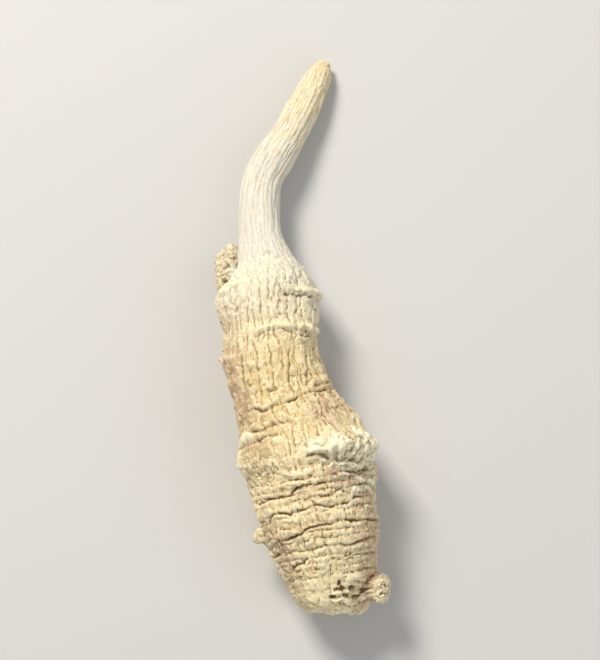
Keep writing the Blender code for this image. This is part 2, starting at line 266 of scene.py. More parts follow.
# The scar of a fallen shoot: crumpled petals of pale tissue, each with its two ends, half width and lift
petals = {
    "handUp": ((62, 22.0), (65, 21.0), 0.55, 0.5),
    "handLeft": ((68, 21.5), (75, 20.8), 0.38, 0.4),
    "handRight": ((59, 21.4), (54, 21.1), 0.36, 0.34),
    "handPalm": ((69, 20.7), (58, 20.7), 0.5, 0.45),
    "leftWing": ((84, 21.7), (73, 21.5), 0.32, 0.28),
    "leftWingLow": ((88, 21.2), (77, 20.9), 0.3, 0.24),
    "foldOne": ((50, 20.9), (61, 19.9), 0.36, 0.5),
    "foldTwo": ((40, 20.6), (50, 19.6), 0.42, 0.56),
    "foldThree": ((28, 20.1), (43, 19.3), 0.42, 0.56),
    "edge": ((36, 21.6), (22, 20.8), 0.45, 0.42),
    "curlHigh": ((20, 20.1), (4, 19.6), 0.4, 0.45),
    "curlLow": ((30, 18.9), (6, 18.9), 0.36, 0.4),
    "lowBand": ((59, 18.9), (44, 18.4), 0.3, 0.42),
    "lowBandEnd": ((41, 18.2), (26, 18.1), 0.34, 0.42),
    "oval": ((76, 19.8), (69, 19.7), 0.32, 0.24),
    "arch": ((72, 18.8), (67, 19.1), 0.18, 0.16),
    "archEnd": ((67, 19.1), (62, 18.6), 0.18, 0.16),
    "blob": ((59, 17.7), (55, 17.4), 0.34, 0.28),
    "curlFleck": ((46, 17.2), (40, 17.3), 0.2, 0.2),
    "edgeFleck": ((22, 17.4), (14, 17.3), 0.3, 0.26),
    "fleckOne": ((42, 16.7), (34, 16.2), 0.34, 0.3),
    "fleckTwo": ((22, 16.2), (15, 15.8), 0.34, 0.28),
    "fleckThree": ((50, 15.2), (43, 15.3), 0.3, 0.2),
    "fleckFour": ((55, 14.0), (49, 14.0), 0.24, 0.16),
    "fleckFive": ((30, 15.2), (22, 14.8), 0.24, 0.16),
}
petalForm = {
    "sway": 0.5,            # how far the petals are pushed out of shape, and how fast
    "swayPace": 0.75,
    "tornEdge": 0.6,
    "tornPace": 1.5,
    "plateau": 0.45,        # how flat a petal is on top
    "cup": 0.4,             # how hollow, and over how much of its width
    "cupReach": 0.5,
    "crumple": 1.1,         # how uneven, and how fast that changes
    "crumplePace": 1.95,
    "liftShare": 0.75,
    "outline": 0.14,        # the dark line round a petal
    "outlineDepth": 0.1,
    "outlineSoilAndShade": 0.35,
    "paleness": 0.85,
    "leastPaleness": 0.4,
    "paleReach": 1.15,
    "paleSoft": 0.5,
    "bedReach": 1.75,       # how far the pale tissue under the petals reaches, and how pale it is
    "bedPaleness": 0.6,
}

markForm = {
    "sway": 0.17,           # how far a mark wanders from its path, and how fast
    "swayPace": 0.55,
    "tremble": 0.08,
    "tremblePace": 1.9,
    "fadeEnds": 0.14,       # share of a path over which it fades in and out
    "leastDepth": 0.35,     # where a mark is weakest
    "leastHeight": 0.6,
    "varyPace": 0.8,        # how fast its strength changes, and how much
    "varySpread": 1.3,
    "creaseEdge": 1.4,      # higher is squarer
    "creaseSwell": 0.28,    # how the skin swells beside a crease, as a share of its depth
    "swellReach": 0.9,
    "lipSteep": 0.4,        # a lip's two sides, in its half widths
    "lipGentle": 1.7,
    "paleReach": 1.6,
}

# Pits with torn edges: along, turn, reach along, reach round in mm, depth
pits = {
    "crownPitOne": (3.4, 79, 0.42, 0.75, 0.8),
    "crownPitTwo": (3.3, 58, 0.4, 0.65, 0.8),
    "crownPitThree": (2.3, 92, 0.35, 0.7, 0.7),
    "crownPitFour": (2.3, 66, 0.35, 0.9, 0.7),
    "crownPitFive": (2.1, 46, 0.3, 0.6, 0.6),
    "crownPitSix": (1.4, 84, 0.3, 0.6, 0.5),
    "crownPitSeven": (4.2, 82, 0.5, 0.35, 0.5),
    "crownPitEight": (2.9, 37, 0.3, 0.45, 0.4),
    "flankPit": (15.6, 174, 0.7, 0.45, 0.5),
    "flankPitHigh": (17.4, 168, 0.5, 0.4, 0.4),
    "scarPit": (20.6, 88, 0.3, 0.45, 0.4),
    "underScar": (17.5, 27, 0.4, 0.6, 0.4),
    "bandPit": (37.3, 24, 0.3, 0.3, 0.45),
    "bandPitLow": (36.4, 38, 0.3, 0.35, 0.4),
    "bandPitRight": (36.8, 8, 0.3, 0.3, 0.4),
}
pitForm = {"torn": 0.9, "tornPace": 1.1, "tornFine": 0.4, "tornFinePace": 2.7, "edge": 1.1, "edgeSoft": 0.35}

# Where the skin is drawn ruddier: partly its own ruddy tone, partly painted shade on the flanks, on the right
# of the ringed part and under the collar's flap. Along, turn, reach along, reach round in degrees, strength
ruddyAndShadedPlaces = [
    (8.0, 22, 9.0, 34, 1.0),
    # a patch of painted shade on the right of the ringed part
    (5.0, 8, 3.0, 26, 1.0),
    (8.0, 150, 6.0, 24, 0.75),
    (40.0, 176, 3.0, 26, 0.9),
    # painted shade under the collar's flap
    (17.2, 48, 1.7, 30, 1.0),
    (24.5, 45, 2.6, 34, 0.8),
    (28.4, 34, 1.2, 22, 0.7),
    (27.0, 162, 4.5, 32, 1.0),
    (36.0, 160, 6.5, 30, 1.0),
    (19.5, 128, 3.2, 26, 0.45),
    (12.8, 150, 0.8, 16, 0.7),
    (10.4, 143, 0.7, 8, 0.9),
]


class GuideLine:  # the smooth line through the plan's stations
    def __init__(self, stations):
        self.stations = [Vector(station) for station in stations]
        self.marks = [0.0]
        for low, high in zip(self.stations, self.stations[1:]):
            self.marks.append(self.marks[-1] + (high.xyz - low.xyz).length)
        self.length = self.marks[-1]
        last = len(stations) - 1
        self.slopes = []
        for i in range(last + 1):
            before, after = max(i - 1, 0), min(i + 1, last)
            change = self.stations[after] - self.stations[before]
            self.slopes.append(change / (self.marks[after] - self.marks[before]))

    def at(self, along):  # x, y, z and the width across
        along = min(max(along, 0.0), self.length)
        last = len(self.stations) - 2
        i = next((n for n in range(last) if along < self.marks[n + 1]), last)
        span = self.marks[i + 1] - self.marks[i]
        share = (along - self.marks[i]) / span
        squared, cubed = share**2, share**3
        return (
            (2 * cubed - 3 * squared + 1) * self.stations[i]
            + (cubed - 2 * squared + share) * span * self.slopes[i]
            + (3 * squared - 2 * cubed) * self.stations[i + 1]
            + (cubed - squared) * span * self.slopes[i + 1]
        )

    def axes(self, along):  # which way the root runs there, its side, its upper side
        spare = rootPlan["endReach"]
        reach = min(rootPlan["frameReach"], along + spare, self.length - along + spare)
        forward = (self.at(along + reach).xyz - self.at(along - reach).xyz).normalized()
        side = forward.cross(crossAxis).normalized()
        return forward, side, side.cross(forward)


guide = GuideLine(rootPlan["stations"])


def falling(value, start, over):  # 0 from start on, 1 once the value is a stretch below it
    return np.clip((start - value) / over, 0.0, 1.0)


def eased(share):  # a share from 0 to 1, with soft ends
    return share * share * (3 - 2 * share)


def smoothStep(low, high, value):
    return eased(min(max((value - low) / (high - low), 0.0), 1.0))


def ringWave(along, turn):  # how far the rings slant and wander from a plain circle
    ringed = 1 - smoothStep(rootPlan["shoulderAt"], rootPlan["tailAt"], along)
    around = Vector((math.cos(turn), math.sin(turn), 0.0)) * ringMarks["waveRound"]
    sway = noise.noise(around + crossAxis * (along * ringMarks["waveAlong"] + seed))
    return ringMarks["wave"] * sway * ringed * smoothStep(0.0, ringMarks["waveFrom"], along)


def formRelief(along, turn, radius):  # lumps and swellings, without the rings
    around = Vector((math.cos(turn), math.sin(turn), 0.0))
    fullness = min(radius / rootPlan["fullReliefRadius"], 1.0)
    lumps = noise.noise((around * radius + crossAxis * along) / rootPlan["lumpSize"] + Vector((seed, 0, 0)))
    raised = rootPlan["lumpHeight"] * lumps * fullness
    for at, degrees, crownward, tailward, spread, height in swellings:
        apart = (math.degrees(turn) - degrees + 180) % 360 - 180
        reach = crownward if along < at else tailward
        raised += height * math.exp(-(((along - at) / reach) ** 2) - (apart / spread) ** 2)
    return raised


def skinPoint(along, turn):
    slid = along + ringWave(along, turn)
    station = guide.at(slid)
    _, side, upward = guide.axes(slid)
    radius = station.w / 2 + formRelief(slid, turn, station.w / 2)
    outward = side * math.cos(turn) + upward * math.sin(turn) * rootPlan["depthToWidth"]
    point = station.xyz + outward * radius
    point.z = max(point.z, 0.0)
    return point


def closeTube(shape, rows, start, end):  # adds a closed tube of rings of points to the shape
    rings = [[shape.verts.new(point) for point in row] for row in rows]
    first, final = shape.verts.new(start), shape.verts.new(end)
    sides = len(rings[0])
    for i in range(sides):
        j = (i + 1) % sides
        shape.faces.new((first, rings[0][j], rings[0][i]))
        shape.faces.new((final, rings[-1][i], rings[-1][j]))
        for low, high in zip(rings, rings[1:]):
            shape.faces.new((low[i], low[j], high[j], high[i]))


def addBody(shape):
    turns = [2 * math.pi * i / rootPlan["sides"] for i in range(rootPlan["sides"])]
    count = round(guide.length / rootPlan["rowStep"])
    places = [guide.length * (i + 0.5) / count for i in range(count)]
    rows = [[skinPoint(along, turn) for turn in turns] for along in places]
    closeTube(shape, rows, guide.at(rootPlan["capAt"]).xyz, guide.at(guide.length).xyz)


def addStump(shape, name):
    start, end, widthStart, widthEnd = stumps[name]
    start, end = Vector(start), Vector(end)
    forward = (end - start).normalized()
    side = forward.cross(crossAxis).normalized()
    upward = side.cross(forward)
    draw = Vector((len(name) * stumpForm["drawStep"], seed, 0.0))
    rows = []
    for row in range(stumpForm["rows"]):
        share = row / (stumpForm["rows"] - 1)
        rounding = max(share - stumpForm["roundFrom"], 0.0) / (1 - stumpForm["roundFrom"])
        width = (widthStart + (widthEnd - widthStart) * share) * math.sqrt(
            1 - rounding**2 * (1 - stumpForm["endWidth"] ** 2)
        )
        points = []
        for i in range(stumpForm["sides"]):
            turn = 2 * math.pi * i / stumpForm["sides"]
            around = Vector((math.cos(turn), math.sin(turn), 0.0)) * stumpForm["detail"]
            rough = noise.noise(around + crossAxis * share * stumpForm["detailAlong"] + draw)
            reach = width / 2 * (1 + stumpForm["roughness"] * stumpCrumple[name] * rough)
            points.append(start.lerp(end, share) + (side * math.cos(turn) + upward * math.sin(turn)) * reach)
        rows.append(points)
    closeTube(shape, rows, start, end)


def evaluatedMesh(piece, name):  # the piece's modifiers applied, as a plain mesh of its own
    bpy.context.view_layer.update()
    result = bpy.data.meshes.new_from_object(piece.evaluated_get(bpy.context.evaluated_depsgraph_get()))
    result.name = name
    piece.modifiers.clear()
    return result


def buildForm():  # body and stumps, grown together as one skin
    shape = bmesh.new()
    addBody(shape)
    for name in stumps:
        addStump(shape, name)
    bmesh.ops.recalc_face_normals(shape, faces=shape.faces[:])
    mesh = bpy.data.meshes.new("root_form")
    shape.to_mesh(mesh)
    shape.free()
    root = bpy.data.objects.new("ginseng_skin", mesh)
    bpy.context.scene.collection.objects.link(root)
    remesh = root.modifiers.new("grow_together", "REMESH")
    remesh.mode = "VOXEL"
    remesh.voxel_size = rootPlan["voxel"]
    relax = root.modifiers.new("relax", "SMOOTH")
    relax.iterations = rootPlan["smoothing"]
    root.data = evaluatedMesh(root, "root_form")
    return root


def allRings():
    marks = ringMarks["main"]
    rings = [marks[0]]
    for i, (low, high) in enumerate(zip(marks, marks[1:])):
        if high[0] < ringMarks["fineUntil"]:
            place = ringMarks["finePlaces"][i % len(ringMarks["finePlaces"])]
            rings.append((low[0] + (high[0] - low[0]) * place, ringMarks["fineDepth"]))
        rings.append(high)
    return rings


def noiseOver(places, pace, draw):  # a value of -0.5 to 0.5 or so at each place
    shift = Vector((draw, seed, 0.0))
    return np.array([noise.noise(Vector(place) * pace + shift) for place in places])


def turnApart(turns, degrees):  # how far each turn lies from another, from -pi to pi
    return (turns - math.radians(degrees) + math.pi) % (2 * math.pi) - math.pi


# Distance to a path, how far tailward of it a point lies, and the share of the path's length
def gapToPath(path, turns, along, girth):
    gap = np.full(len(along), 1e3)
    tailward, share = np.zeros(len(along)), np.zeros(len(along))
    for i, ((turnA, alongA), (turnB, alongB)) in enumerate(zip(path, path[1:])):
        across, down = turnApart(turns, turnA) * girth, along - alongA
        runAcross, runDown = math.radians(turnB - turnA) * girth, alongB - alongA
        place = np.clip((across * runAcross + down * runDown) / (runAcross**2 + runDown**2), 0.0, 1.0)
        offAcross, offDown = across - place * runAcross, down - place * runDown
        distance = np.hypot(offAcross, offDown)
        closer = distance < gap
        gap = np.where(closer, distance, gap)
        tailward = np.where(closer, offDown, tailward)
        share = np.where(closer, (i + place) / (len(path) - 1), share)
    return gap, tailward, share


# How far the marks raise the skin, how pale they are and how dark
def handMarks(straight, turns, along, girth):
    form = markForm
    sway = form["sway"] * noiseOver(straight, form["swayPace"], 1.0)
    tremble = form["tremble"] * noiseOver(straight, form["tremblePace"], 2.0)
    sideSway = form["sway"] * noiseOver(straight, form["swayPace"], 3.0)
    vary = 0.5 + form["varySpread"] * noiseOver(straight, form["varyPace"], 4.0)
    strength = form["leastDepth"] + np.clip(vary, 0.0, 1.0)
    steady = form["leastHeight"] + (1 - form["leastHeight"]) * strength
    along = along + 2 * (sway + tremble)
    turns = turns + 2 * (sideSway + tremble) / girth
    raised, pale, dark = np.zeros(len(along)), np.zeros(len(along)), np.zeros(len(along))

    def fading(share):
        return eased(np.clip(np.minimum(share, 1 - share) / form["fadeEnds"], 0.0, 1.0))

    for depth, width, path in creases.values():
        gap, _, share = gapToPath(path, turns, along, girth)
        here = depth * strength * fading(share)
        raised += here * form["creaseSwell"] * np.exp(-((gap / form["swellReach"]) ** 2))
        raised -= here * np.exp(-((gap / width) ** form["creaseEdge"]))
        dark = np.maximum(dark, here * np.exp(-((gap / width) ** 2)))
    for marks, steep in ((ridges, False), (lips, True)):
        for height, width, paleness, path in marks.values():
            gap, tailward, share = gapToPath(path, turns, along, girth)
            reach = width * np.where(tailward < 0, form["lipSteep"], form["lipGentle"]) if steep else width
            here = steady * fading(share) * np.exp(-((gap / reach) ** 2))
            raised += height * here
            pale = np.maximum(pale, paleness * np.clip(here * form["paleReach"], 0.0, 1.0))
    return raised, pale, dark


def pitMarks(straight, turns, along, girth):  # how deep the torn pits are
    form = pitForm
    torn = form["torn"] * noiseOver(straight, form["tornPace"], 5.0)
    torn = torn + form["tornFine"] * noiseOver(straight, form["tornFinePace"], 6.0)
    depths = np.zeros(len(along))
    for at, degrees, reachAlong, reachRound, depth in pits.values():
        away = np.hypot((along - at) / reachAlong, turnApart(turns, degrees) * girth / reachRound) + torn
        inside = falling(away, form["edge"], form["edgeSoft"])
        depths = np.maximum(depths, depth * eased(inside))
    return depths


# How far the petals stand out, how pale the skin is on and round them, and the line round each
def petalMarks(straight, turns, along, girth):
    form = petalForm
    torn = form["tornEdge"] * noiseOver(straight, form["tornPace"], 7.0)
    crumple = noiseOver(straight, form["crumplePace"], 10.0)
    along = along + form["sway"] * noiseOver(straight, form["swayPace"], 8.0)
    turns = turns + form["sway"] * noiseOver(straight, form["swayPace"], 9.0) / girth
    lifts, nearest = np.zeros(len(along)), np.full(len(along), 9.0)
    for start, end, width, lift in petals.values():
        reach = gapToPath((start, end), turns, along, girth)[0] / width + torn
        dome = np.clip(1 - np.maximum(reach, 0.0) ** 2, 0.0, 1.0) ** form["plateau"]
        hollow = form["cup"] * np.exp(-((reach / form["cupReach"]) ** 2))
        lifts = np.maximum(lifts, lift * form["liftShare"] * dome * (1 - hollow + form["crumple"] * crumple))
        nearest = np.minimum(nearest, reach)
    outline = np.exp(-(((nearest - 1) / form["outline"]) ** 2))
    inside = falling(nearest, form["paleReach"], form["paleSoft"])
    bed = form["bedPaleness"] * falling(nearest, form["bedReach"], form["paleSoft"])
    paleness = np.maximum(inside * np.clip(form["paleness"] + crumple, form["leastPaleness"], 1.0), bed)
    return lifts - form["outlineDepth"] * outline, paleness, outline


def ruddinessAndShade(turns, along):
    total = np.zeros(len(along))
    for at, degrees, reachAlong, spread, strength in ruddyAndShadedPlaces:
        apart = (np.degrees(turns) - degrees + 180) % 360 - 180
        total += strength * np.exp(-(((along - at) / reachAlong) ** 2) - (apart / spread) ** 2)
    return np.clip(total, 0.0, 1.0)


skinForm = {
    "step": 0.1,            # between the places on the axis that points are measured from
    "ringReach": 0.4,       # how far the outermost rings reach past their own places
    "stumpReach": 1.6,      # how far out a point still belongs to a stump, in radii of the stump
    "stumpSoft": 0.4,
    "clearFrom": 1.06,      # a stump begins this far out, in radii of the body
    "clearOver": 0.6,
    "capFrom": 1.9,         # from here to the crown's very end the skin is measured across the cut
    "capCrumpleFrom": 1.5,
    "capOver": 1.0,
    "capCrumple": 0.6,
    "leastGirth": 1.0,
    "upperSlope": 2.5,      # how soon the upper side, where the listed marks lie, gives way to the lower
    "upperShift": 0.4,
    # how dark creases and pits are drawn: partly soil, partly painted shade
    "creaseSoilAndShade": 2.0,
    "pitSoilAndShade": 0.9,
}


def rootPlaces(places):  # how far along a point is, its turn, its reach and the girth there
    step = skinForm["step"]
    samples = [guide.at(i * step) for i in range(int(guide.length / step) + 1)]
    frames = [guide.axes(i * step) for i in range(len(samples))]
    tree = kdtree.KDTree(len(samples))
    for i, sample in enumerate(samples):
        tree.insert(sample.xyz, i)
    tree.balance()
    nearest = np.array([tree.find(Vector(place))[1] for place in places])
    centres = np.array([sample.xyz for sample in samples])[nearest]
    forwards, sides, upwards = (np.array([axes[k] for axes in frames])[nearest] for k in range(3))
    offsets = places - centres
    slid = nearest * step + (offsets * forwards).sum(1)
    across, up = (offsets * sides).sum(1), (offsets * upwards).sum(1)
    girth = np.interp(slid, [i * step for i in range(len(samples))], [sample.w / 2 for sample in samples])
    return slid, np.arctan2(up, across), np.hypot(up, across), girth


def stumpMarks(places, reach, girth):  # how much a point is stump, how rough, how dented and how pale
    form = skinForm
    onStump, crumple, dent, pale = (np.zeros(len(places)) for _ in range(4))
    clear = np.clip((reach - girth * form["clearFrom"]) / form["clearOver"], 0.0, 1.0)
    for name, (start, end, widthStart, widthEnd) in stumps.items():
        start, run = np.array(start), np.array(end) - np.array(start)
        share = np.clip(((places - start) @ run) / (run @ run), 0.0, 1.0)
        distance = np.linalg.norm(places - start - share[:, None] * run, axis=1)
        radius = (widthStart + (widthEnd - widthStart) * share) / 2
        near = falling(distance / radius, form["stumpReach"], form["stumpSoft"])
        onStump = np.maximum(onStump, near * clear)
        crumple = np.maximum(crumple, near * clear * stumpCrumple[name])
        pale = np.maximum(pale, near * clear * stumpPaleness[name])
    torn = stumpForm["pitTorn"] * noiseOver(places, stumpForm["pitTornPace"], 11.0)
    for x, y, size, depth in stumpPits:
        away = np.hypot(places[:, 0] - x, places[:, 1] - y) / size + torn
        inside = falling(away, stumpForm["pitEdge"], stumpForm["pitSoft"])
        dent = np.maximum(dent, depth * onStump * inside)
    return onStump, crumple, dent, pale


def measureSkin(root):  # what the relief and the material need to know at each point
    form = skinForm
    mesh = root.data
    places = np.empty(len(mesh.vertices) * 3)
    mesh.vertices.foreach_get("co", places)
    places = places.reshape(-1, 3)
    slid, turns, reach, girth = rootPlaces(places)
    along = slid - np.array([ringWave(s, t) for s, t in zip(slid, turns)])

    rings = allRings()
    phase = np.interp(along, [ring[0] for ring in rings], range(len(rings)))
    depths = np.array([ring[1] for ring in rings])[np.rint(phase).astype(int)]
    ringed = (along > rings[0][0] - form["ringReach"]) & (along < rings[-1][0] + form["ringReach"])

    onStump, crumple, dent, stumpPale = stumpMarks(places, reach, girth)
    onCap = falling(slid, form["capFrom"], form["capOver"])
    capCrumple = form["capCrumple"] * falling(slid, form["capCrumpleFrom"], form["capOver"])
    radial = girth + (np.minimum(reach, girth) - girth) * onCap
    straight = np.stack([np.cos(turns) * radial, np.sin(turns) * radial, along], axis=1)
    thick = np.maximum(girth, form["leastGirth"])
    raised, pale, dark = handMarks(straight, turns, along, thick)
    pitDepth = pitMarks(straight, turns, along, thick)
    petalLift, petalPale, petalLine = petalMarks(straight, turns, along, thick)
    # darkening in creases, in pits and round the petals: partly soil, partly painted shade
    soilAndShade = dark * form["creaseSoilAndShade"] + pitDepth * form["pitSoilAndShade"] + petalLine * petalForm["outlineSoilAndShade"]
    onBody = 1 - onStump
    measures = {
        "straight": straight,                      # the place on the root as if its axis ran straight
        "ringPhase": phase,
        "ringDepth": depths * ringed,
        "onStump": onStump,
        "girth": girth,
        "upperSide": np.clip(np.sin(turns) * form["upperSlope"] + form["upperShift"], 0.0, 1.0),
        "stumpCrumple": np.maximum(crumple, capCrumple),
        "marked": (raised - pitDepth + petalLift) * onBody - dent,
        "pale": pale * onBody + stumpPale,
        "scarred": petalPale * onBody,
        "soiledAndShaded": np.clip(soilAndShade * onBody + dent, 0.0, 1.0),
        "ruddyAndShade": ruddinessAndShade(turns, along),
    }
    for name, values in measures.items():
        isVector = values.ndim == 2
        attribute = mesh.attributes.new(name, "FLOAT_VECTOR" if isVector else "FLOAT", "POINT")
        attribute.data.foreach_set("vector" if isVector else "value", values.ravel().astype(np.float32))


class Graph:  # short calls for building a tree of nodes
    def __init__(self, tree):
        self.tree = tree

    def add(self, kind, feeds=None, **settings):
        node = self.tree.nodes.new(kind)
        for name, value in settings.items():
            setattr(node, name, value)
        for name, value in (feeds or {}).items():
            self.feed(node.inputs[name], value)
        return node

    def feed(self, socket, value):
        if isinstance(value, bpy.types.NodeSocket):
            self.tree.links.new(value, socket)
        else:
            socket.default_value = value

    def math(self, operation, *values):
        node = self.add("ShaderNodeMath", operation=operation)
        for socket, value in zip(node.inputs, values):
            self.feed(socket, value)
        return node.outputs[0]

    def plus(self, *values):
        total = values[0]
        for value in values[1:]:
            total = self.math("ADD", total, value)
        return total

    def times(self, *values):
        total = values[0]
        for value in values[1:]:
            total = self.math("MULTIPLY", total, value)
        return total

    def parts(self, vector):  # its x, y and z
        return self.add("ShaderNodeSeparateXYZ", {"Vector": vector}).outputs

    def stretched(self, place, paceRound, paceAlong, draw=(0.0, 0.0, 0.0)):
        return self.vector("MULTIPLY", self.vector("ADD", place, draw), (paceRound, paceRound, paceAlong))

    def vector(self, operation, *values):
        node = self.add("ShaderNodeVectorMath", operation=operation)
        for socket, value in zip(node.inputs, values):
            self.feed(socket, value)
        return node.outputs["Value" if operation == "DOT_PRODUCT" else "Vector"]

    def remap(self, value, fromLow, fromHigh, toLow=0.0, toHigh=1.0):
        feeds = {"Value": value, "From Min": fromLow, "From Max": fromHigh, "To Min": toLow, "To Max": toHigh}
        return self.add("ShaderNodeMapRange", feeds, interpolation_type="SMOOTHSTEP").outputs["Result"]

    def over(self, along, zone, low=0.0, high=1.0):  # changes over a stretch of the root
        return self.remap(along, *zones[zone], low, high)

    def noise(self, place, scale, detail=2.0, roughness=0.5, distortion=0.0):
        feeds = {"Vector": place, "Scale": scale, "Detail": detail, "Roughness": roughness}
        return self.add("ShaderNodeTexNoise", {**feeds, "Distortion": distortion}).outputs[0]

    def hairlines(self, place, width):  # thin lines where a noise passes its middle
        spread = self.math("SUBTRACT", self.noise(place, 1.0, 3.0, 0.55, 0.4), 0.5)
        return self.remap(self.math("ABSOLUTE", spread), 0.0, width, 1.0, 0.0)

    def cells(self, place):  # distance to the nearest edge of a cell
        feeds = {"Vector": place, "Scale": 1.0, "Randomness": 1.0}
        return self.add("ShaderNodeTexVoronoi", feeds, feature="DISTANCE_TO_EDGE").outputs["Distance"]

    def warped(self, place, pace, amount, detail=2.0):
        feeds = {"Vector": place, "Scale": pace, "Detail": detail, "Roughness": 0.55}
        colour = self.add("ShaderNodeTexNoise", feeds).outputs["Color"]
        centred = self.vector("SUBTRACT", colour, (0.5, 0.5, 0.5))
        pushed = self.vector("MULTIPLY", centred, (2 * amount, 2 * amount, 2 * amount))
        return self.vector("ADD", place, pushed)

    def mix(self, share, first, second):
        node = self.add("ShaderNodeMix", data_type="RGBA")
        for name, value in (("Factor_Float", share), ("A_Color", first), ("B_Color", second)):
            self.feed(next(socket for socket in node.inputs if socket.identifier == name), value)
        return next(socket for socket in node.outputs if socket.identifier == "Result_Color")


skinRelief = {
    "Ring Depth": 0.34,
    "Ring Bulge": 0.15,
    "Brick Depth": 0.09,
    "Wrinkle Depth": 0.09,
    "Furrow Depth": 0.15,
    "Furrow Bulge": 0.18,
    "Streak Depth": 0.08,
    "Flake Height": 0.09,
    "Tail Furrow Depth": 0.13,
    "Lump Height": 0.2,
    "Wart Height": 0.14,
    "Stump Height": 0.6,
    "Grain Height": 0.06,
}

# Stretches along the root over which something sets in or dies away
zones = {
    "calmCrown": (3.0, 7.5),
    "paleCrown": (4.0, 9.0),
    "nearCrown": (5.0, 10.0),
    "furrowsGrow": (19.0, 27.0),
    "ringSoilAndShadeEnds": (19.0, 25.0),
    "upperStarts": (20.0, 27.0),
    "ringsCalm": (22.0, 34.0),
    "shoulder": (31.0, 40.0),
    "upperEnds": (34.0, 40.0),
    "tail": (36.0, 49.0),
    "tailForm": (42.0, 47.5),
    "ringsEnd": (43.0, 47.5),
    "furrowsEnd": (44.5, 50.5),
    "tailSpecks": (47.0, 70.0),
    "tip": (50.0, 78.0),
    "tanAndShadedTip": (72.0, 80.0),
}

# Where a kind of relief comes and goes: draw, pace, detail, the noise at its least and most, its share there
patches = {
    "rings": ((7.0, 3.0, 1.0), 0.32, 2.0, (0.4, 0.62), (0.0, 1.25)),
    "bricks": ((1.0, 8.0, 5.0), 0.5, 2.0, (0.38, 0.6), (0.0, 1.0)),
    "wrinkles": ((0.0, 9.0, 4.0), 0.5, 2.0, (0.38, 0.6), (0.0, 1.0)),
    "furrows": ((5.0, 5.0, 9.0), 0.4, 2.0, (0.34, 0.55), (0.25, 1.0)),
    "streaks": ((8.0, 2.0, 6.0), 0.6, 2.0, (0.36, 0.56), (0.0, 1.0)),
    "warts": ((2.0, 2.0, 8.0), 0.3, 1.0, (0.5, 0.6), (0.0, 1.0)),
}

# How a pattern is pushed about: pace and amount
waves = {
    "broad": (0.4, 0.8),
    "trembling": (1.7, 0.16),
    "flakes": (2.2, 0.14),
    "tail": (0.3, 0.35),
    "stumps": (0.8, 0.75),
}

# Grooves along the edges of cells: draw, pace round the root and along it, width
grooves = {
    "wrinkles": ((3.0, 7.0, 2.0), 0.42, 1.75, 0.13),
    "furrows": ((0.0, 0.0, 0.0), 0.72, 0.085, 0.11),
    "fineFurrows": ((4.0, 1.0, 2.0), 1.15, 0.1, 0.13),
    "streaks": ((6.0, 6.0, 1.0), 1.75, 0.26, 0.16),
    "tailFurrows": ((0.0, 0.0, 0.0), 1.5, 0.07, 0.16),
}


